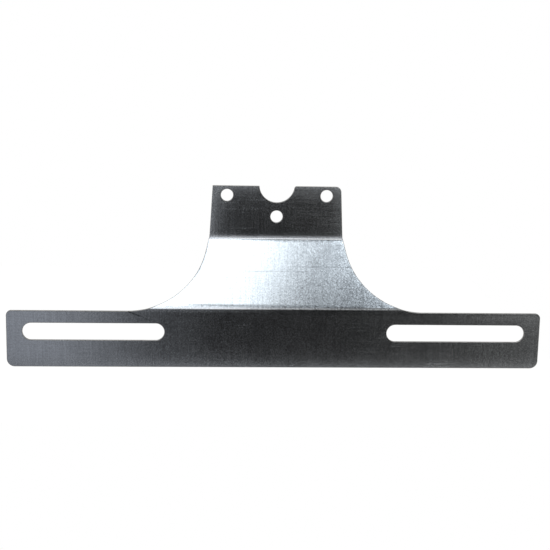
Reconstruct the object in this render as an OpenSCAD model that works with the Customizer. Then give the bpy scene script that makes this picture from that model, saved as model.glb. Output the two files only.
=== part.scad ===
// Number plate holder: one folded sheet of zinc plated steel.
// A narrow tab bolts up behind a lamp, a flared web steps down and forward,
// and a long slotted bar carries the number plate.
// X runs along the bar, Z is up and the plate side faces -Y.
// The origin lies on the tab's back face, midway between the two lamp bolt holes.

/* [Sheet] */
// Thickness of the sheet
sheet_t = 1.5; // [0.8:0.1:3]
// Radius on the inside of both bends
bend_r = 3.5; // [1:0.1:8]
// Angle of both bends, which turn opposite ways
bend_angle = 25; // [10:0.5:45]

/* [Lamp tab] */
// Distance between the two lamp bolt holes
lamp_bolt_spacing = 50.8; // [40:0.1:70]
// Diameter of the lamp bolt holes and of the hole in the middle
lamp_hole_d = 6.2; // [4:0.1:8]
// Metal between a lamp bolt hole's centre and the side of the tab, at its top edge
tab_side_margin = 7.35; // [5.5:0.05:15]
// Depth of the lamp bolt holes' centres below the tab's top edge
lamp_hole_drop = 4.8; // [4.5:0.1:8]
// Depth of the middle hole's centre below the lamp bolt holes
middle_hole_drop = 10.8; // [9:0.1:14]
// Height of the flat tab, from its top edge to the upper bend
tab_h = 26.3; // [21:0.1:50]
// Slant of each side of the tab, which widens downwards
tab_taper = 3; // [0:0.5:10]
// Radius of the cable notch in the top edge
notch_r = 9; // [6:0.1:10.5]
// Height of the notch's centre above the top edge
notch_rise = 0.6; // [0:0.1:3]
// Rounding of the notch's right lip
notch_lip_r = 1.2; // [0.4:0.1:3]
// Rounding of the tab's upper right corner
tab_corner_r = 2.8; // [0.5:0.1:4]

/* [Web] */
// Length of the flat web between the bends, along its slope
web_l = 34.8; // [28:0.1:70]
// Slant of the web's straight flanks just below the upper bend
flank_angle = 13; // [5:0.5:25]
// Radius of the arcs that flare the web out into the bar
flare_r = 40; // [15:0.5:48]

/* [Plate bar] */
// Length of the bar
bar_l = 271; // [210:1:360]
// Height of the bar
bar_h = 29; // [22:0.5:45]
// Height of the lower bend's edge above the bar's top edge
bend_rise = 0.6; // [0.4:0.1:3]
// Rounding of the bar's upper corners
bar_top_corner_r = 2.6; // [0.5:0.1:5]
// Rounding of the bar's lower corners
bar_low_corner_r = 4; // [0.5:0.1:6]
// Length of a slot, from end to end
slot_l = 71; // [20:0.5:85]
// Width of a slot
slot_w = 8.8; // [5:0.1:11]
// Metal between a slot and the end of the bar
slot_end_margin = 8; // [5:0.5:20]
// Depth of the slots' centre line below the bar's top edge
slot_drop = 10.7; // [9:0.1:14]

/* [Hidden] */

$fn = 96;
// Share of the thickness at which the sheet keeps its length in a bend
neutral_share = 0.42;
// Overshoot of every cut past the sheet
clear = 1;
// Excess of a rounding arc's radius, so that it crosses the edges that it meets
arc_excess = 0.0002;
// Flat sheet at each end of a bend that the cut around the bend shapes
lap = 0.05;
// How far the metal squeezed in a bend stands out past the flat edges
bend_bulge = 0.05;
// Steps of the cut edge around a bend
bend_steps = 12;

bend_outer_r = bend_r + sheet_t;
neutral_r = bend_r + neutral_share * sheet_t;
// Length of flat sheet that one bend takes up
bend_l = neutral_r * bend_angle * PI / 180;
// How far the cut around a bend runs past both ends of the bend, in degrees
lap_angle = atan(2 * lap / bend_r);

// Heights up the flat blank, from the bar's top edge
v_bar_low = -bar_h;
v_bend_low = bend_rise;
v_web_low = v_bend_low + bend_l;
v_web_top = v_web_low + web_l;
v_tab_low = v_web_top + bend_l;
v_tab_top = v_tab_low + tab_h;
v_lamp_holes = v_tab_top - lamp_hole_drop;

// Half widths of the tab, and the flare that joins its flanks to the bar
tab_top_half = lamp_bolt_spacing / 2 + tab_side_margin;
tab_low_half = tab_top_half + tab_h * tan(tab_taper);
largest_arc_r = v_web_top / (1 - sin(flank_angle));
arc_r = min(flare_r, largest_arc_r);
arc_x = tab_low_half + (arc_r - (arc_r - v_tab_low) * sin(flank_angle)) / cos(flank_angle);
arc_start = [arc_x - arc_r * cos(flank_angle), arc_r * (1 - sin(flank_angle))];
slot_x = bar_l / 2 - slot_end_margin - slot_l / 2;

// Rounded lip of the notch, which touches the notch's arc and the top edge
lip_x = sqrt(pow(notch_r + notch_lip_r, 2) - pow(notch_rise + notch_lip_r, 2));
lip_touch = notch_r / (notch_r + notch_lip_r);

// Axes of the bends and the lower corner of the web's back face, as [y, z]
web_up = [sin(bend_angle), cos(bend_angle)];
web_back = [cos(bend_angle), -sin(bend_angle)];
upper_axis = [-bend_outer_r, lamp_hole_drop - tab_h];
web_low = upper_axis + bend_outer_r * web_back - web_l * web_up;
lower_axis = web_low + bend_r * web_back;
bar_back_y = lower_axis[0] - bend_r;

// Half width of the blank at height v, from the lower bend up
function half_width(v) =
    v > v_tab_low ? tab_top_half + (v_tab_top - v) * tan(tab_taper)
    : v > arc_start[1] ? tab_low_half + (v_tab_low - v) * tan(flank_angle)
    : arc_x - sqrt(pow(arc_r, 2) - pow(arc_r - v, 2));

// The piece between a corner and the arc that rounds it. It is cut from an outer corner
// or added in an inner one. Directions a and b run from the corner along its two edges.
module corner_piece(corner, a, b, r) {
    half = acos(a * b) / 2;
    inward = (a + b) / norm(a + b);
    centre = corner + inward * r / sin(half);
    reach = r / tan(half);
    difference() {
        polygon([corner + a * reach, corner - inward * sheet_t / 2, corner + b * reach, centre]);
        translate(centre) circle(r + arc_excess);
    }
}

// The piece cut away to round the notch's right lip
module lip_piece() {
    centre = [lip_x, v_tab_top - notch_lip_r];
    notch_centre = [0, v_tab_top + notch_rise];
    difference() {
        polygon([
            centre,
            [lip_x, v_tab_top],
            [lip_x - clear, v_tab_top + clear],
            notch_centre + (centre - notch_centre) * lip_touch
        ]);
        translate(centre) circle(notch_lip_r);
    }
}

module slot() {
    end_x = (slot_l - slot_w) / 2;
    square([2 * end_x, slot_w], center = true);
    for (side = [-1, 1]) translate([side * end_x, 0]) circle(d = slot_w);
}

module bar_outline() {
    difference() {
        translate([-bar_l / 2, v_bar_low]) square([bar_l, bar_h]);
        for (side = [-1, 1]) {
            corner_piece([side * bar_l / 2, 0], [-side, 0], [0, -1], bar_top_corner_r);
            corner_piece([side * bar_l / 2, v_bar_low], [-side, 0], [0, 1], bar_low_corner_r);
            translate([side * slot_x, -slot_drop]) slot();
        }
    }
}

module web_and_tab_outline() {
    right = [[arc_x, -clear], [arc_x, 0], arc_start, [tab_low_half, v_tab_low], [tab_top_half, v_tab_top]];
    left = [for (i = [len(right) - 1:-1:0]) [-right[i][0], right[i][1]]];
    difference() {
        polygon(concat(right, left));
        for (side = [-1, 1]) translate([side * arc_x, arc_r]) circle(arc_r);
        translate([0, v_tab_top + notch_rise]) circle(notch_r);
        lip_piece();
        corner_piece([tab_top_half, v_tab_top], [-1, 0], [sin(tab_taper), -cos(tab_taper)], tab_corner_r);
        for (side = [-1, 1]) translate([side * lamp_bolt_spacing / 2, v_lamp_holes]) circle(d = lamp_hole_d);
        translate([0, v_lamp_holes - middle_hole_drop]) circle(d = lamp_hole_d);
    }
}

// The whole part as it is punched, before folding
module blank() {
    bar_outline();
    web_and_tab_outline();
}

// The folded sheet seen from its end, as [y, z], a little too long at both ends
module folded_profile() {
    upper_z = upper_axis[1];
    lower_z = lower_axis[1];
    top_z = lamp_hole_drop + clear;
    low_z = lower_z - bend_rise - bar_h - clear;
    inner_tip = bend_r * tan(bend_angle / 2);
    outer_tip = bend_outer_r * tan(bend_angle / 2);
    back_upper = [0, upper_z - outer_tip];
    front_upper = [-sheet_t, upper_z - inner_tip];
    back_lower = [bar_back_y, lower_z + inner_tip];
    front_lower = [bar_back_y - sheet_t, lower_z + outer_tip];
    up = [0, 1];
    difference() {
        polygon([
            [0, top_z], back_upper, back_lower, [bar_back_y, low_z],
            [bar_back_y - sheet_t, low_z], front_lower, front_upper, [-sheet_t, top_z]
        ]);
        corner_piece(back_upper, up, -web_up, bend_outer_r);
        corner_piece(front_lower, -up, web_up, bend_outer_r);
    }
    corner_piece(front_upper, up, -web_up, bend_r);
    corner_piece(back_lower, -up, web_up, bend_r);
}

// What is punched away from a flat stretch of sheet that stands in the XZ plane, back at Y = 0
module flat_waste(v_low, v_top) {
    rotate([90, 0, 0]) translate([0, 0, -clear]) linear_extrude(sheet_t + 2 * clear) difference() {
        translate([-bar_l, v_low]) square([2 * bar_l, v_top - v_low]);
        blank();
    }
}

// What is punched away on one side of a bend. The cut edge is carried around the bend's
// axis, which is X, as the sheet turns from +Y down towards -Z. It runs a little past both
// ends of the bend, just outside the edges of the flat stretches.
module bend_waste(side, v_start, v_step) {
    turn = (bend_angle + 2 * lap_angle) / bend_steps;
    outer = bend_outer_r + clear;
    inner = bend_r / 2;
    last = 4 * bend_steps;
    points = [
        for (i = [0:bend_steps])
            let (a = i * turn - lap_angle)
            let (x = half_width(v_start + v_step * bend_l * a / bend_angle - bend_bulge) + bend_bulge)
            for (p = [[x, inner], [x, outer], [bar_l, outer], [bar_l, inner]])
            [side * p[0], p[1] * cos(a), -p[1] * sin(a)]
    ];
    walls = [
        for (i = [0:4:last - 4], k = [0:3])
            let (p = i + k, q = i + (k + 1) % 4)
            each [[p, p + 4, q + 4], [p, q + 4, q]]
    ];
    ends = [[0, 1, 2], [0, 2, 3], [last + 2, last + 1, last], [last + 3, last + 2, last]];
    faces = concat(walls, ends);
    polyhedron(points, side > 0 ? faces : [for (f = faces) [f[2], f[1], f[0]]]);
}

module plate_holder() {
    color([0.62, 0.64, 0.67]) difference() {
        rotate([90, 0, 90]) linear_extrude(bar_l + 2 * clear, center = true) folded_profile();
        translate([0, 0, upper_axis[1] - v_tab_low]) flat_waste(v_tab_low + lap, v_tab_top + 2 * clear);
        translate([0, web_low[0], web_low[1]]) rotate([-bend_angle, 0, 0])
            translate([0, 0, -v_web_low]) flat_waste(v_web_low + lap, v_web_top - lap);
        translate([0, bar_back_y, lower_axis[1] - v_bend_low])
            flat_waste(v_bar_low - 2 * clear, v_bend_low - lap);
        for (side = [-1, 1]) {
            translate([0, upper_axis[0], upper_axis[1]]) bend_waste(side, v_tab_low, -1);
            translate([0, lower_axis[0], lower_axis[1]]) rotate([180, 0, 0]) bend_waste(side, v_bend_low, 1);
        }
    }
}

plate_holder();
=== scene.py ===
# %% [markdown]
# Number plate holder: one zinc plated steel sheet with two folds.
# A narrow tab bolts up behind a lamp, a flared web steps down and forward,
# and a long bar with two slots carries the number plate.
# This lesson models the sheet the way a metal shop makes it: a flat blank is cut to its
# outline, its edges are taken off, and the two folds are made last.
# X runs along the bar, Z is up, and the plate side faces -Y. Sizes are in metres.

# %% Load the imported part
from math import cos, pi, radians, sin, sqrt, tan

import bmesh
import bpy
from mathutils import Matrix, Vector


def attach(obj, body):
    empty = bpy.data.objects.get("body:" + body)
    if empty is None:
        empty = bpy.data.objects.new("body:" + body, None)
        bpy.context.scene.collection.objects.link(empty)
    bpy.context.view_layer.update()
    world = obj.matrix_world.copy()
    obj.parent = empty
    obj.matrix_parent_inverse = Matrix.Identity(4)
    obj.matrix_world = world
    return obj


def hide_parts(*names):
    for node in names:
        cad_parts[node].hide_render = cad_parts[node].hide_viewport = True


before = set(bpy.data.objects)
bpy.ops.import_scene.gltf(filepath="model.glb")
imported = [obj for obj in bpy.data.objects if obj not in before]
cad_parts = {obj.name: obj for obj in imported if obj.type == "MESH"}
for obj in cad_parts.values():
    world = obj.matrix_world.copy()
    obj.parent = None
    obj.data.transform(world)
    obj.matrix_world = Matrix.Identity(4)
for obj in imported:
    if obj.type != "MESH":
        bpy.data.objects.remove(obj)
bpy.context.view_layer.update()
MM = 0.001

# %% [markdown]
# The camera stands where the photographer's lens was. Its place was fitted to measured edges
# of the bracket: about 640 mm away, 3.5 degrees to the left, 11.6 degrees up, and turned
# by 1.2 degrees. The lens follows from the picture's width of 550 pixels and a focal
# length of 1257 pixels.

# %% Place the camera
PHOTO_PIXELS = 550
FOCAL_PIXELS = 1257.2
VIEW_TARGET = Vector((-0.65, -9.0, -39.68)) * MM
VIEW_DISTANCE = 640 * MM
VIEW_LEFT = radians(3.523)
VIEW_UP = radians(11.599)
VIEW_ROLL = radians(1.192)

towards_lens = Vector((-sin(VIEW_LEFT) * cos(VIEW_UP), -cos(VIEW_LEFT) * cos(VIEW_UP), sin(VIEW_UP)))
bpy.ops.object.camera_add(location=VIEW_TARGET + VIEW_DISTANCE * towards_lens)
camera = bpy.context.object
camera.name = "photo_camera"
camera.rotation_mode = "QUATERNION"
camera.rotation_quaternion = (
    towards_lens.to_track_quat("Z", "Y") @ Matrix.Rotation(VIEW_ROLL, 3, "Z").to_quaternion()
)
camera.data.sensor_width = 36
camera.data.lens = FOCAL_PIXELS / PHOTO_PIXELS * camera.data.sensor_width
camera.data.clip_start = 0.01
bpy.context.scene.camera = camera
print("camera at, mm:", [round(c / MM, 1) for c in camera.location], "lens", round(camera.data.lens, 2))

# %% [markdown]
# Helpers for the modelling steps. An operator works on whatever is selected, so a new
# piece starts from an empty selection, and faces or points are picked by their place. What
# is nearer than a thousandth of a millimetre counts as the same place.

# %% Helpers for modelling
NEAR = 1e-6


def start_piece(add, name, **settings):
    """Adds one primitive with nothing else selected, and gives it its name."""
    bpy.ops.object.select_all(action="DESELECT")
    add(**settings)
    bpy.context.object.name = name
    return bpy.context.object


def activate(piece):
    bpy.ops.object.select_all(action="DESELECT")
    piece.select_set(True)
    bpy.context.view_layer.objects.active = piece


def fix_place(piece):
    """Moves a piece's place, turn and scale into its mesh."""
    activate(piece)
    bpy.ops.object.transform_apply(location=True, rotation=True, scale=True)


def select_where(piece, test, mode="VERT"):
    """In edit mode, selects the points, edges or faces for which test(element) is true."""
    bpy.ops.mesh.select_mode(type=mode)
    bpy.ops.mesh.select_all(action="DESELECT")
    shape = bmesh.from_edit_mesh(piece.data)
    elements = {"VERT": shape.verts, "EDGE": shape.edges, "FACE": shape.faces}[mode]
    picked = [element for element in elements if test(element)]
    for element in picked:
        element.select = True
    shape.select_flush_mode()
    bmesh.update_edit_mesh(piece.data)
    return len(picked)


# %% [markdown]
# The sizes of the sheet are those of the solid part. The folds have an inner radius of
# 3.5 mm and turn by 25 degrees, one forward and one back, so the bar ends up parallel to
# the tab. Heights in the flat blank are counted from the bar's top edge; the blank is then
# placed so that the tab is already where it stays.

# %% Sizes of the sheet
SHEET = 1.5 * MM
FOLD_INNER = 3.5 * MM
FOLD_OUTER = FOLD_INNER + SHEET
FOLD_TURN = radians(25)
NEUTRAL_DEPTH = 0.42 * SHEET
FOLD_LENGTH = (FOLD_INNER + NEUTRAL_DEPTH) * FOLD_TURN

BAR_LENGTH = 271 * MM
BAR_HEIGHT = 29 * MM
SLOT_LENGTH = 71 * MM
SLOT_WIDTH = 8.8 * MM
SLOT_END_GAP = 8 * MM
SLOT_X = BAR_LENGTH / 2 - SLOT_END_GAP - SLOT_LENGTH / 2
SLOT_DROP = 10.7 * MM

FOLD_ABOVE_BAR = 0.6 * MM
WEB_LENGTH = 34.8 * MM
TAB_HEIGHT = 26.3 * MM
WEB_LOW = FOLD_ABOVE_BAR + FOLD_LENGTH
WEB_TOP = WEB_LOW + WEB_LENGTH
TAB_LOW = WEB_TOP + FOLD_LENGTH
TAB_TOP = TAB_LOW + TAB_HEIGHT
TAB_TOP_Z = 4.8 * MM
BLANK_Z = TAB_TOP_Z - TAB_TOP

HOLE_X = 50.8 / 2 * MM
HOLE_TO_SIDE = 7.35 * MM
SIDE_LEAN = radians(3)
TAB_TOP_HALF = HOLE_X + HOLE_TO_SIDE
TAB_LOW_HALF = TAB_TOP_HALF + TAB_HEIGHT * tan(SIDE_LEAN)
FLANK = radians(13)
FLARE_R = 40 * MM
FLARE_X = TAB_LOW_HALF + (FLARE_R - (FLARE_R - TAB_LOW) * sin(FLANK)) / cos(FLANK)
FLARE_START = (FLARE_X - FLARE_R * cos(FLANK), FLARE_R * (1 - sin(FLANK)))
print("flare centre x, mm:", round(FLARE_X / MM, 2),
      "blank height, mm:", round((TAB_TOP + BAR_HEIGHT) / MM, 2))

# %% [markdown]
# The blank starts as two plates. The bar is a box with its four corners rounded by bevels,
# the lower ones more than the upper ones.

# %% The bar of the blank
BAR_CORNERS = ((BLANK_Z, 2.6 * MM), (BLANK_Z - BAR_HEIGHT, 4 * MM))
CORNER_STEPS = 12


def upright_edge_at(x, z):
    """A test for the edges that run through the thickness at (x, z)."""
    def test(edge):
        return all(abs(v.co.x - x) < NEAR and abs(v.co.z - z) < NEAR for v in edge.verts)
    return test


bar = start_piece(
    bpy.ops.mesh.primitive_cube_add, "plate_sheet",
    size=1, location=(0, -SHEET / 2, BLANK_Z - BAR_HEIGHT / 2), scale=(BAR_LENGTH, SHEET, BAR_HEIGHT),
)
fix_place(bar)
bpy.ops.object.mode_set(mode="EDIT")
for z, radius in BAR_CORNERS:
    for x in (-BAR_LENGTH / 2, BAR_LENGTH / 2):
        select_where(bar, upright_edge_at(x, z), "EDGE")
        bpy.ops.mesh.bevel(offset=radius, segments=CORNER_STEPS)
bpy.ops.object.mode_set(mode="OBJECT")
print("bar faces:", len(bar.data.polygons))

# %% [markdown]
# The web and tab are one box that is drawn upwards in steps, and each new top edge is
# pulled in to the width of the real sheet there. The box starts a little way down in the
# bar, so that the two can be joined.

# %% The web and tab of the blank
SUNK = 5 * MM
steps = [(FLARE_X, 0), FLARE_START, (TAB_LOW_HALF, TAB_LOW), (TAB_TOP_HALF, TAB_TOP)]
web = start_piece(
    bpy.ops.mesh.primitive_cube_add, "web_and_tab",
    size=1, location=(0, -SHEET / 2, BLANK_Z - SUNK / 2), scale=(2 * FLARE_X, SHEET, SUNK),
)
fix_place(web)
bpy.ops.object.mode_set(mode="EDIT")
select_where(web, lambda face: face.normal.z > 0.9, "FACE")
for (half, height), (new_half, new_height) in zip(steps, steps[1:]):
    bpy.ops.mesh.extrude_region_move(TRANSFORM_OT_translate={"value": (0, 0, new_height - height)})
    bpy.ops.transform.resize(value=(new_half / half, 1, 1), center_override=(0, 0, 0))
bpy.ops.object.mode_set(mode="OBJECT")
top_x = [v.co.x for v in web.data.vertices if v.co.z > TAB_TOP_Z - NEAR]
print("tab half width at the top, mm:", round(max(top_x) / MM, 3))

# %% [markdown]
# The flares are cut like a punch would: a round cutter of 40 mm radius on each side,
# which touches the straight flank above and the bar's top edge below. The three lamp holes
# and the cable notch are punched the same way. A Boolean modifier does the cutting, and it
# is applied at once.

# %% Cut the outline
LAMP_HOLE_R = 3.1 * MM
LOW_HOLE_Z = -10.8 * MM
NOTCH_R = 9 * MM
NOTCH_Z = 5.4 * MM


def combine(piece, other, operation):
    """Joins another solid to the piece or cuts it away, and removes the other solid."""
    activate(piece)
    change = piece.modifiers.new("combine", "BOOLEAN")
    change.operation = operation
    change.solver = "EXACT"
    change.object = other
    bpy.ops.object.modifier_apply(modifier=change.name)
    bpy.data.objects.remove(other)


def round_cutter(x, z, radius, sides):
    return start_piece(
        bpy.ops.mesh.primitive_cylinder_add, "round_cutter", vertices=sides,
        radius=radius, depth=4 * SHEET, location=(x, -SHEET / 2, z), rotation=(pi / 2, 0, 0),
    )


for side in (-1, 1):
    combine(web, round_cutter(side * FLARE_X, BLANK_Z + FLARE_R, FLARE_R, 288), "DIFFERENCE")
combine(bar, web, "UNION")
for x, z in ((-HOLE_X, 0), (HOLE_X, 0), (0, LOW_HOLE_Z)):
    combine(bar, round_cutter(x, z, LAMP_HOLE_R, 64), "DIFFERENCE")
combine(bar, round_cutter(0, NOTCH_Z, NOTCH_R, 128), "DIFFERENCE")
print("outline faces:", len(bar.data.polygons), "points:", len(bar.data.vertices))

# %% [markdown]
# Each slot is cut with a round cutter whose two halves are drawn apart, so its ends are
# true half circles.

# %% Cut the slots
for side in (-1, 1):
    middle = side * SLOT_X
    cutter = round_cutter(middle, BLANK_Z - SLOT_DROP, SLOT_WIDTH / 2, 96)
    fix_place(cutter)
    bpy.ops.object.mode_set(mode="EDIT")
    for end in (-1, 1):
        select_where(cutter, lambda v: end * (v.co.x - middle) > NEAR)
        bpy.ops.transform.translate(value=(end * (SLOT_LENGTH - SLOT_WIDTH) / 2, 0, 0))
    bpy.ops.object.mode_set(mode="OBJECT")
    combine(bar, cutter, "DIFFERENCE")
print("points with slots:", len(bar.data.vertices))

# %% [markdown]
# Two corners of the tab are rounded: the upper right one by a bevel, and the right lip of
# the notch by a small block that carries the hollow of the rounding. The left ones are
# left as sharp as the shears made them.

# %% Round the tab's right corner and the notch's right lip
CORNER_R = 2.8 * MM
activate(bar)
bpy.ops.object.mode_set(mode="EDIT")
corners = select_where(bar, upright_edge_at(TAB_TOP_HALF, TAB_TOP_Z), "EDGE")
bpy.ops.mesh.bevel(offset=CORNER_R * tan((pi / 2 - SIDE_LEAN) / 2), segments=CORNER_STEPS)
bpy.ops.object.mode_set(mode="OBJECT")

LIP_R = 1.2 * MM
lip_z = TAB_TOP_Z - LIP_R
lip_x = sqrt((NOTCH_R + LIP_R) ** 2 - (NOTCH_Z - lip_z) ** 2)
touch_z = lip_z + (NOTCH_Z - lip_z) * LIP_R / (NOTCH_R + LIP_R)
block = start_piece(
    bpy.ops.mesh.primitive_cube_add, "lip_block", size=1,
    location=(lip_x - LIP_R, -SHEET / 2, touch_z + LIP_R), scale=(2 * LIP_R, 3 * SHEET, 2 * LIP_R),
)
fix_place(block)
combine(block, round_cutter(lip_x, lip_z, LIP_R, 64), "DIFFERENCE")
combine(bar, block, "DIFFERENCE")
print("rounded corners of the tab:", corners, "lip at x, mm:", round(lip_x / MM, 2))

# %% [markdown]
# Cutting leaves points that nearly touch, and flat edges that show nothing, so they are
# merged and dissolved before the next step. The cuts list their points in another order
# each run, and merging depends on that order. So the points, edges and faces are first
# sorted by their distance from the 3D cursor, which is put well off the sheet's axes, and
# leaving edit mode once writes that order into the mesh.

# %% Clear up after the cuts
SORT_FROM = (0.31, 0.173, 0.117)
NEARLY_TOUCHING = 0.05 * MM
NEARLY_FLAT = radians(0.3)
activate(bar)
bpy.context.scene.cursor.location = SORT_FROM
bpy.ops.object.mode_set(mode="EDIT")
bpy.ops.mesh.select_all(action="SELECT")
bpy.ops.mesh.sort_elements(type="CURSOR_DISTANCE", elements={"VERT", "EDGE", "FACE"})
bpy.ops.object.mode_set(mode="OBJECT")
bpy.context.scene.cursor.location = (0, 0, 0)
bpy.ops.object.mode_set(mode="EDIT")
bpy.ops.mesh.select_all(action="SELECT")
bpy.ops.mesh.remove_doubles(threshold=NEARLY_TOUCHING)
bpy.ops.mesh.dissolve_limited(angle_limit=NEARLY_FLAT)
bpy.ops.mesh.select_all(action="SELECT")
bpy.ops.mesh.normals_make_consistent(inside=False)
bpy.ops.object.mode_set(mode="OBJECT")
print("points after clearing up:", len(bar.data.vertices), "faces:", len(bar.data.polygons))

# %% [markdown]
# A punch rolls the edge over before it cuts, by about a sixth of the thickness. A bevel of
# that width all round catches the light as the real edge does. It is made while the blank
# is flat, because all its edges are still square then. The bevel isn't clamped, because a
# clamped one would be held back everywhere by the shortest edge that it meets.

# %% Take off the edges
EDGE_ROUND = 0.26 * MM
edge_round = bar.modifiers.new("edge_round", "BEVEL")
edge_round.width = EDGE_ROUND
edge_round.segments = 3
edge_round.limit_method = "ANGLE"
edge_round.angle_limit = radians(50)
edge_round.use_clamp_overlap = False
bpy.ops.object.modifier_apply(modifier=edge_round.name)
flat_half = max(abs(v.co.x) for v in bar.data.vertices if v.co.y > -NEAR)
print("points with rounded edges:", len(bar.data.vertices),
      "edge taken off, mm:", round((BAR_LENGTH / 2 - flat_half) / MM, 3))

# %% [markdown]
# The sheet was plated before it was cut, so the zinc ends at the sheared edge and the cut
# itself is bare steel. The flat faces get the first material and all that turns away from
# them gets the second. This is also easiest on the flat blank.

# %% Mark the cut edges
FLAT_FACING = 0.97
zinc = bpy.data.materials.new("zinc_plate")
bare = bpy.data.materials.new("bare_cut_edge")
for material in (zinc, bare):
    material.use_nodes = True
    bar.data.materials.append(material)
bpy.ops.object.mode_set(mode="EDIT")
cut_faces = select_where(bar, lambda face: abs(face.normal.y) < FLAT_FACING, "FACE")
bar.active_material_index = 1
bpy.ops.object.material_slot_assign()
bpy.ops.object.mode_set(mode="OBJECT")
print("faces of the cut edge:", cut_faces)

# %% [markdown]
# Folding. A press brake wraps the sheet around a punch nose. Here the blank is first cut
# across at close stations along each fold, and at a guard line just outside it that keeps
# the shading of the flats flat. Then the sheet below the first station is fed up to the
# fold's axis and turned around it, station by station. The lower fold is made first, while
# the web still hangs straight.

# %% Fold the sheet
STATIONS = 14
GUARD = 0.35 * MM


def cut_across(piece, z):
    bpy.ops.mesh.select_all(action="SELECT")
    bpy.ops.mesh.bisect(plane_co=(0, 0, z), plane_no=(0, 0, 1))


def turn_around(axis_y, axis_z, angle):
    """Turns the selected points about an axis along X, from +Y towards +Z for a positive angle."""
    bpy.ops.transform.rotate(value=-angle, orient_axis="X", center_override=(0, axis_y, axis_z))


def fold(piece, start_z, axis_y, turn):
    """Folds all that is below start_z around an axis along X at (axis_y, start_z)."""
    activate(piece)
    bpy.ops.object.mode_set(mode="EDIT")
    heights = [start_z - FOLD_LENGTH * i / STATIONS for i in range(STATIONS + 1)]
    for z in heights + [heights[0] + GUARD, heights[-1] - GUARD]:
        cut_across(piece, z)
    points = bmesh.from_edit_mesh(piece.data).verts
    groups = []
    for i in range(STATIONS):
        over, under = heights[i] - NEAR, heights[i + 1] + NEAR
        between = {v.index for v in points if under < v.co.z < over}
        on_line = {v.index for v in points if abs(v.co.z - heights[i + 1]) <= NEAR}
        groups += [((i + 0.5) / STATIONS, between), ((i + 1) / STATIONS, on_line)]
    groups.append((1, {v.index for v in points if v.co.z < heights[-1] - NEAR}))
    for share, group in groups:
        if select_where(piece, lambda v: v.index in group):
            bpy.ops.transform.translate(value=(0, 0, FOLD_LENGTH * share))
            turn_around(axis_y, start_z, turn * share)
    bpy.ops.object.mode_set(mode="OBJECT")


fold(bar, BLANK_Z + WEB_LOW, FOLD_INNER, FOLD_TURN)
fold(bar, BLANK_Z + TAB_LOW, -FOLD_OUTER, -FOLD_TURN)
low = [min(v.co[i] for v in bar.data.vertices) / MM for i in range(3)]
high = [max(v.co[i] for v in bar.data.vertices) / MM for i in range(3)]
print("folded sheet, mm:", [round(c, 3) for c in low], [round(c, 3) for c in high])

# %% [markdown]
# The flats must shade flat although their edges are rounded, so the normals of the points
# between them follow the larger face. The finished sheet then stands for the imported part's
# node, with the same outline and the same place.

# %% Finish the sheet
SHARP_FROM = radians(40)
sheet = bar
activate(sheet)
bpy.ops.object.shade_smooth_by_angle(angle=SHARP_FROM)
even = sheet.modifiers.new("even_shading", "WEIGHTED_NORMAL")
even.mode = "FACE_AREA"
even.keep_sharp = True
bpy.ops.object.modifier_apply(modifier=even.name)
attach(sheet, "root")
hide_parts("plate_holder")
print("faces:", len(sheet.data.polygons))

# %% [markdown]
# Shader maths reads best as plain expressions. The small class below wraps a socket, so that
# adding or multiplying values adds the Math nodes. A plain number is written on the socket,
# and a value is linked to it.

# %% Values in shader maths
def plug(tree, value, slot):
    if isinstance(value, Value):
        tree.links.new(value.socket, slot)
    else:
        slot.default_value = value


class Value:
    """A socket that can be used in sums and products."""

    def __init__(self, tree, socket):
        self.tree = tree
        self.socket = socket

    def maths(self, operation, first, second=0.0):
        node = self.tree.nodes.new("ShaderNodeMath")
        node.operation = operation
        plug(self.tree, first, node.inputs[0])
        plug(self.tree, second, node.inputs[1])
        return Value(self.tree, node.outputs[0])

    def __add__(self, other):
        return self.maths("ADD", self, other)

    def __sub__(self, other):
        return self.maths("SUBTRACT", self, other)

    def __rsub__(self, other):
        return self.maths("SUBTRACT", other, self)

    def __mul__(self, other):
        return self.maths("MULTIPLY", self, other)

    def __abs__(self):
        return self.maths("ABSOLUTE", self)

    def clamped(self):
        return self.maths("MINIMUM", self.maths("MAXIMUM", self, 0.0), 1.0)

    __radd__ = __add__
    __rmul__ = __mul__


# %% [markdown]
# Any other node comes from one method, which takes the node's type, its settings, and the
# values or links of its inputs. An input is given by its name, or by its number as in n6,
# because a Mix node has several inputs of one name. The nodes that come up again and again
# have a short method of their own.

# %% Nodes of one tree
class Nodes:
    """Makes nodes in one tree."""

    def __init__(self, tree):
        self.tree = tree
        tree.nodes.clear()

    def add(self, kind, settings=None, output=0, **inputs):
        """Adds a node and gives one of its outputs."""
        node = self.tree.nodes.new(kind)
        for name, value in (settings or {}).items():
            setattr(node, name, value)
        for name, value in inputs.items():
            key = name.replace("_", " ")
            by_number = key[0] == "n" and key[1:].isdigit()
            plug(self.tree, value, node.inputs[int(key[1:]) if by_number else key])
        return Value(self.tree, node.outputs[output]) if len(node.outputs) else None

    def split(self, vector):
        node = self.tree.nodes.new("ShaderNodeSeparateXYZ")
        self.tree.links.new(vector.socket, node.inputs[0])
        return [Value(self.tree, output) for output in node.outputs]

    def rays(self, *kinds):
        """For each kind of ray a value that is 1 for such a ray and 0 for any other."""
        node = self.tree.nodes.new("ShaderNodeLightPath")
        return [Value(self.tree, node.outputs[f"Is {kind} Ray"]) for kind in kinds]

    def stretch(self, value, low, high):
        """0 where value is low, 1 where it is high, and smooth between."""
        return self.add("ShaderNodeMapRange", {"interpolation_type": "SMOOTHSTEP"},
                        Value=value, From_Min=low, From_Max=high)

    def noise(self, place, scale, detail, roughness):
        return self.add("ShaderNodeTexNoise", {"noise_dimensions": "3D"},
                        Vector=place, Scale=scale, Detail=detail, Roughness=roughness)

    def between(self, share, first, second):
        """The first colour where share is 0, and the second where it is 1."""
        return self.add("ShaderNodeMix", {"data_type": "RGBA"}, output=2, n0=share, n6=first, n7=second)


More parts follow.
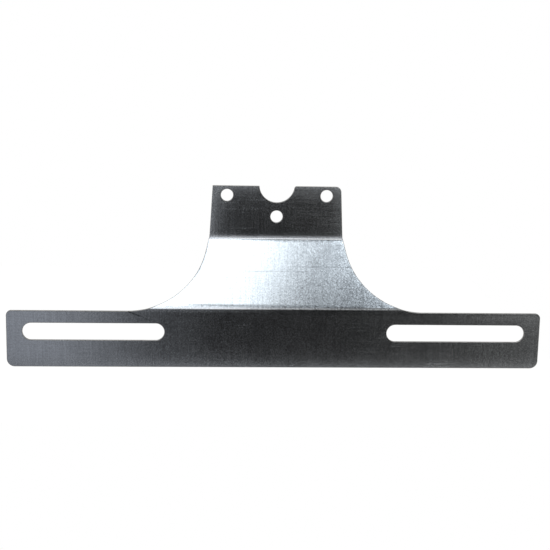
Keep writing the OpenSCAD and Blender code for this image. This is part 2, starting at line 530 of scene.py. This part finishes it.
# %% [markdown]
# Zinc plate on rolled steel is a bright grey metal with a little blue in it. Close up it has
# a fine speckle, soft clouds from the bath, and faint streaks. All of them read the object's
# own coordinates, so they stay where they are when the view turns. What only the front shows
# is told from the back by the object's own normal.

# %% Speckle, clouds and streaks of the zinc
SPECKLES_PER_METRE = 1250
STREAKS_PER_METRE = 1700
zn = Nodes(zinc.node_tree)
place = zn.add("ShaderNodeTexCoord", output=3)
x, _, z = zn.split(place)
facing = zn.split(zn.add("ShaderNodeTexCoord", output=1))
front = zn.stretch(0.0 - facing[1], 0.1, 0.5)


def pattern(scale, detail=1.0, roughness=0.5):
    """Noise whose size along each axis is one over the scale, from about 0 to 1."""
    mapped = zn.add("ShaderNodeMapping", Vector=place, Scale=scale)
    return zn.noise(mapped, 1.0, detail, roughness)


speckle = pattern((SPECKLES_PER_METRE,) * 3, detail=2.0, roughness=0.6)
cloud = pattern((90, 90, 60), detail=3.0)
down_streaks = pattern((STREAKS_PER_METRE, 90, 60))
along_streaks = pattern((60, STREAKS_PER_METRE, STREAKS_PER_METRE))
print("speckle, mm:", round(1000 / SPECKLES_PER_METRE, 1))

# %% [markdown]
# Handling leaves hairline scratches that run along the sheet. On the tab and bar they scatter
# light into a dark reflection, so they go into the roughness. Two long ones on the web are
# darker than the plate, and three short scuffs in the web's upper right are paler.
# Each is a soft line: a bell curve of the distance from its middle.

# %% Scratches and scuffs
SCUFF_SLOPE = radians(55)


def fading(distance, reach):
    """1 where the distance is 0, and less by the same share for each reach further on."""
    return distance.maths("EXPONENT", distance * (-1 / reach))


def soft(value, middle, width):
    """1 in the middle, and smoothly less on both sides."""
    off = (value - middle) * (1 / width)
    return fading(off * off, 1)


def line_at(at_z, width):
    """A soft line along the sheet at one height, in mm."""
    return soft(z, at_z * MM, width * MM)


def sideways(from_x, to_x):
    """0 at the first x and beyond it, 1 at the second, in mm."""
    return zn.stretch(x, from_x * MM, to_x * MM)


def upwards(from_z, to_z):
    """0 at the first height and beyond it, 1 at the second, in mm."""
    return zn.stretch(z, from_z * MM, to_z * MM)


def hairline(at_z, from_x, to_x):
    return sideways(from_x - 18, from_x) * sideways(to_x + 8, to_x) * line_at(at_z, 0.22)


def scuff(at_x, at_z):
    right, up = x - at_x * MM, z - at_z * MM
    along = right * cos(SCUFF_SLOPE) - up * sin(SCUFF_SLOPE)
    aside = right * sin(SCUFF_SLOPE) + up * cos(SCUFF_SLOPE)
    return soft(along, 0.0, 2.6 * MM) * soft(aside, 0.0, 0.4 * MM)


scratches = zn.stretch(pattern((45, 2200, 2200)), 0.66, 0.76)
scratch_places = zn.stretch(pattern((25, 25, 25)), 0.42, 0.62)
off_web = (upwards(-24, -20) + upwards(-56, -60)).clamped()
marks = scratches * scratch_places * off_web
hairlines = front * (hairline(-35.6, 22, 36) + hairline(-38.0, -6, 12))
scuffs = front * (scuff(18.5, -26.5) + scuff(17.4, -28.8) + scuff(19.6, -28.2))
print("nodes of the zinc so far:", len(zinc.node_tree.nodes))

# %% [markdown]
# A thin dark line on the web beside each fold is painted shade, for the dark gap that each fold
# mirrors, and a narrow pale band on the folds is a painted highlight. The lower line leans by
# half a degree and is darker on the left. The plate is rougher where the upper fold starts from
# the tab. The lower fold is the stretched outside of a bend, where the zinc is rougher, and a
# band on it is painted darker as painted shade, most of all towards the right.

# %% Lines of the folds
LINE_LEAN = 0.010
to_left = sideways(0, -30)
on_web = sideways(-50, -34) * sideways(60, 38)
# painted shade: thin dark lines on the web beside both folds, for the dark gap each fold mirrors
upper_painted_dark_line = front * line_at(-23.0, 0.55) * sideways(-26, 2)
leaning = z + LINE_LEAN * (x - 7 * MM)
lower_painted_dark_line = front * soft(leaning, -54.35 * MM, 0.6 * MM) * on_web * (1 + 0.5 * to_left)
# painted highlight: pale lines along the folds, the lower one on the left only
fold_painted_highlight = front * (line_at(-22.0, 0.7) + line_at(-55.15, 0.4) * to_left)
fold_start = front * fading(abs(z + 21.4 * MM), 0.55 * MM)
low_bend = 1.2 * line_at(-55.2, 0.7) + 0.6 * line_at(-56.9, 0.7)
# painted shade: a darker band on the lower fold, stronger towards the right
lower_fold_painted_shade = line_at(-56.4, 1.6) * sideways(-40, 15)
print("the lower line leans by, degrees:", round(LINE_LEAN * 180 / pi, 2))

# %% [markdown]
# The tab's front is rubbed more than the rest. Its left half shows streaks from top to
# bottom, and its right half shows streaks along the sheet and a coarser speckle.

# %% Wear of the tab
on_tab = upwards(-25, -20)
right_half = sideways(-8, 14)
left_wear = down_streaks - 0.5
right_wear = 1.1 * (along_streaks - 0.5) + 1.6 * (speckle - 0.5)
tab_wear = on_tab * front * ((1 - right_half) * left_wear + right_half * right_wear)
print("nodes of the zinc with folds and wear:", len(zinc.node_tree.nodes))

# %% [markdown]
# Near the sheared edges the plate is a little rougher and paler, over 3 to 6 mm; the paler tone
# is partly wear and partly a painted highlight, most of all along the bar's lower edge. It shows
# on the tab's sides and top, along the flares and along the bar's lower edge. The distance from
# a flare is measured from the centre of its arc, in the plane of the sloping web. A narrow dark
# line right beside the left flare is painted shade, and the web's lower right corner is painted
# darker as painted shade.

# %% Rims and corners
WEB_TOP_Z = -22.98 * MM
BAR_LOW_Z = -86.2 * MM
TAB_SIDE_X = 33.5 * MM
up_web = (z - WEB_TOP_Z) * (1 / cos(FOLD_TURN)) + (WEB_TOP - FLARE_R)
across = abs(x) - FLARE_X
from_flare = x.maths("SQRT", across * across + up_web * up_web) - FLARE_R
in_web = upwards(-22, -25) * upwards(-58, -55)
flare_rim = in_web * fading(from_flare.maths("MAXIMUM", from_flare, 0.0), 2.5 * MM)
left_rim = on_tab * fading(x + TAB_SIDE_X, 5 * MM)
right_rim = on_tab * fading(TAB_SIDE_X - x, 4 * MM)
top_rim = fading(TAB_TOP_Z - z, 4.5 * MM)
# the bar's lower edge: rougher, and paler as a painted highlight
low_rim_wear_and_sheen = fading(z - BAR_LOW_Z, 4 * MM)
# rims: rougher as wear; their paler tone is partly wear and partly a painted highlight
rim_wear_and_sheen = (left_rim + 0.5 * right_rim + 0.9 * top_rim + low_rim_wear_and_sheen + 0.10 * flare_rim).clamped()

on_left_flare = sideways(10, -25) * upwards(-44, -38)
# painted shade: a thin dark line on the web right beside the left flare
flare_painted_dark_line = front * in_web * soft(from_flare, 0.35 * MM, 0.45 * MM) * on_left_flare
# painted shade: the web's lower right corner painted darker
web_corner_painted_shade = front * in_web * upwards(-55.4, -54.0) * sideways(28, 54)
print("flare centre in the web's plane, mm:", round(FLARE_X / MM, 2), round((FLARE_R - WEB_TOP) / MM, 2))

# %% [markdown]
# All of these come together in the zinc's tone, from 0 for black to 1 for bright zinc, and in
# its roughness, so the tone carries painted highlights and painted shade beside the real marks.
# The shader itself is a plain metal with a slight bump, and most of the shine of the plate comes
# from what it mirrors.

# %% Zinc finish
PLAIN_TONE = 0.80
PLAIN_ROUGHNESS = 0.100
BRIGHT_ZINC = (0.80, 0.83, 0.87, 1.0)
grain = (0.70 * (speckle - 0.5) + 0.14 * (cloud - 0.5)
         + 0.30 * (down_streaks - 0.5) + 0.20 * (along_streaks - 0.5))
# paler holds real wear and scuffs with painted highlights; darker holds real hairlines with painted
# shade
paler = 0.42 * tab_wear + 0.10 * rim_wear_and_sheen + 0.10 * low_rim_wear_and_sheen + 0.22 * scuffs + 0.30 * fold_painted_highlight
darker = (0.24 * hairlines + 0.31 * upper_painted_dark_line + 0.33 * lower_painted_dark_line + 0.54 * lower_fold_painted_shade
          + 0.36 * flare_painted_dark_line + 0.35 * web_corner_painted_shade)
tone = PLAIN_TONE + grain + paler - darker
rough = (PLAIN_ROUGHNESS + 0.03 * cloud + 0.07 * speckle + 0.10 * marks + 0.12 * rim_wear_and_sheen
         + 0.10 * low_bend + 0.32 * fold_start)
surface = 0.7 * speckle + 0.2 * down_streaks + 0.2 * along_streaks
bump = zn.add("ShaderNodeBump", Strength=0.06, Distance=0.0001, Height=surface)
colour = zn.between(tone.clamped(), (0.0, 0.0, 0.0, 1.0), BRIGHT_ZINC)
metal = zn.add("ShaderNodeBsdfPrincipled", Base_Color=colour, Metallic=1.0, Roughness=rough, Normal=bump)
zn.add("ShaderNodeOutputMaterial", Surface=metal)
print("nodes in the zinc:", len(zinc.node_tree.nodes))

# %% [markdown]
# A sheared edge is smooth and bright where the punch slid along it, and dull and grainy
# where the metal broke. It is darker and rougher than the zinc, and a little brown.

# %% Cut edge finish
DARK_STEEL = (0.06, 0.055, 0.05, 1.0)
PALE_STEEL = (0.62, 0.61, 0.59, 1.0)
en = Nodes(bare.node_tree)
edge_place = en.add("ShaderNodeTexCoord", output=3)
fine = en.noise(edge_place, 2200.0, 3.0, 0.6)
wide = en.noise(edge_place, 260.0, 2.0, 0.5)
edge_tone = 0.34 + 0.5 * (fine - 0.5) + 0.4 * (wide - 0.5)
edge_colour = en.between(edge_tone.clamped(), DARK_STEEL, PALE_STEEL)
edge_bump = en.add("ShaderNodeBump", Strength=0.25, Distance=0.0001, Height=fine)
edge_metal = en.add("ShaderNodeBsdfPrincipled", Base_Color=edge_colour, Metallic=1.0,
                    Roughness=0.30 + 0.2 * wide, Normal=edge_bump)
en.add("ShaderNodeOutputMaterial", Surface=edge_metal)
print("nodes in the cut edge:", len(bare.node_tree.nodes))

# %% [markdown]
# Bare metal shows what stands around it, so the studio matters as much as the finish. The
# upright tab and bar mirror what is just below eye level in front of them, a dark room,
# and look nearly black. The sloping web mirrors what is high in front, a lamp, and is burnt
# out to white on the left. Each fold runs through all the heights between, so it shows a
# bright band and a thin dark gap as lines.
# The studio is drawn in the world by azimuth and height in degrees, as a list of soft panels
# that only reflections see. The first two are above eye level and make the folds' bright
# bands, the others lie below it and lighten the bar's two ends and its rims. The room is
# dark in front. From 25 degrees to each side its walls are a little lighter, and further
# round and overhead it is pale.

# %% World
world = bpy.data.worlds.new("studio")
bpy.context.scene.world = world
world.use_nodes = True
wn = Nodes(world.node_tree)
dx, dy, dz = wn.split(wn.add("ShaderNodeTexCoord", output=0))
azimuth = dx.maths("ARCTAN2", dx, 0.0 - dy) * (180 / pi)
height = dz.maths("ARCSINE", dz) * (180 / pi)

# azimuth, height, half width, half height, level
PANELS = [
    (-10, 12.5, 24, 7.5, 2.1),
    (-13, 26, 10, 8, 2.8),
    (-8, -13, 3.6, 9, 0.48),
    (0, -25, 60, 2.5, 0.45),
    (20.5, -6, 7, 5, 1.15),
]
DARK_ROOM = 0.008
DIM_WALLS = 0.30
PALE_WALLS = 0.70
PLAIN_LIGHT = 0.8
ceiling = wn.stretch(height, 46, 75)
sides = wn.stretch(abs(azimuth) - height, 45, 90)
around = (ceiling + sides - ceiling * sides).clamped()
beside = wn.stretch(abs(azimuth), 25, 48)
studio = DARK_ROOM + DIM_WALLS * beside + PALE_WALLS * around
for at, up, half_width, half_height, strength in PANELS:
    studio = studio + strength * soft(azimuth, at, half_width) * soft(height, up, half_height)
print("soft panels in the studio:", len(PANELS))

# %% [markdown]
# Light Path tells which kind of ray asks. A reflection gets the studio, with a slightly cool
# light from the left and a warm one from the right. The camera gets white, and any other
# ray gets a plain level.

# %% What each ray sees
COOL = (0.87, 0.91, 1.0, 1.0)
WARM = (1.0, 0.99, 0.95, 1.0)
WHITE = (1.0, 1.0, 1.0, 1.0)
camera_ray, mirror_ray = wn.rays("Camera", "Glossy")
indirect = studio * mirror_ray + PLAIN_LIGHT * (1 - mirror_ray)
level = indirect * (1 - camera_ray) + camera_ray
tint = wn.between(wn.stretch(azimuth, 4, -8), WARM, COOL)
hue = wn.between(mirror_ray * (1 - around), WHITE, tint)
background = wn.add("ShaderNodeBackground", Color=hue, Strength=level)
wn.add("ShaderNodeOutputWorld", Surface=background)
print("nodes in the world:", len(world.node_tree.nodes))

# %% [markdown]
# The floor lies well below the part, because the part hangs on its two lamp bolts. It ends a
# little in front of the part, so that the upright faces still mirror the dark room.

# %% Floor
FLOOR_WIDTH, FLOOR_DEPTH = 6, 4
FLOOR_PLACE = (0, 1.4, -0.42)
floor = start_piece(
    bpy.ops.mesh.primitive_plane_add, "floor",
    size=1, location=FLOOR_PLACE, scale=(FLOOR_WIDTH, FLOOR_DEPTH, 1),
)
fix_place(floor)
pale = bpy.data.materials.new("pale_floor")
pale.use_nodes = True
fn = Nodes(pale.node_tree)
by_camera, by_mirror, by_glass = fn.rays("Camera", "Glossy", "Transmission")
share = 0.75 * (by_camera + by_mirror + by_glass).clamped()
diffuse = fn.add("ShaderNodeBsdfDiffuse", Color=(0.9, 0.9, 0.9, 1.0))
glow = fn.add("ShaderNodeEmission", Color=WHITE, Strength=1.1)
mixed = fn.add("ShaderNodeMixShader", n0=share, n1=diffuse, n2=glow)
fn.add("ShaderNodeOutputMaterial", Surface=mixed)
floor.data.materials.append(pale)
print("floor height, mm:", round(floor.data.vertices[0].co.z / MM))

# %% [markdown]
# Two soft lamps hang in front and above, at the height that the sloping web mirrors. The wide
# one on the left is the key: its mirror image lies on the left half of the web. The narrow
# one on the right keeps the right half from going dark. They are placed by azimuth and
# height, like the panels.

# %% Lamps
LAMP_UP = radians(42.3)
LAMP_DISTANCE = 2.0
LAMP_AIM = Vector((0, -0.01, -0.04))


def soft_lamp(name, azimuth, size, watts, hue):
    turn = radians(azimuth)
    away = Vector((sin(turn) * cos(LAMP_UP), -cos(turn) * cos(LAMP_UP), sin(LAMP_UP)))
    bpy.ops.object.light_add(type="AREA", location=LAMP_AIM + LAMP_DISTANCE * away)
    lamp = bpy.context.object
    lamp.name = name
    lamp.rotation_euler = away.to_track_quat("Z", "Y").to_euler()
    lamp.data.shape = "ELLIPSE"
    lamp.data.size, lamp.data.size_y = size
    lamp.data.energy = watts
    lamp.data.color = hue
    print(name, "at, m:", [round(c, 2) for c in lamp.location])


soft_lamp("key_softbox", -9.7, (0.85, 0.74), 3.6, (0.90, 0.965, 1.0))
soft_lamp("right_softbox", 20.3, (0.26, 0.38), 7.5, (0.865, 0.945, 1.0))
bpy.context.scene.view_settings.view_transform = "Standard"
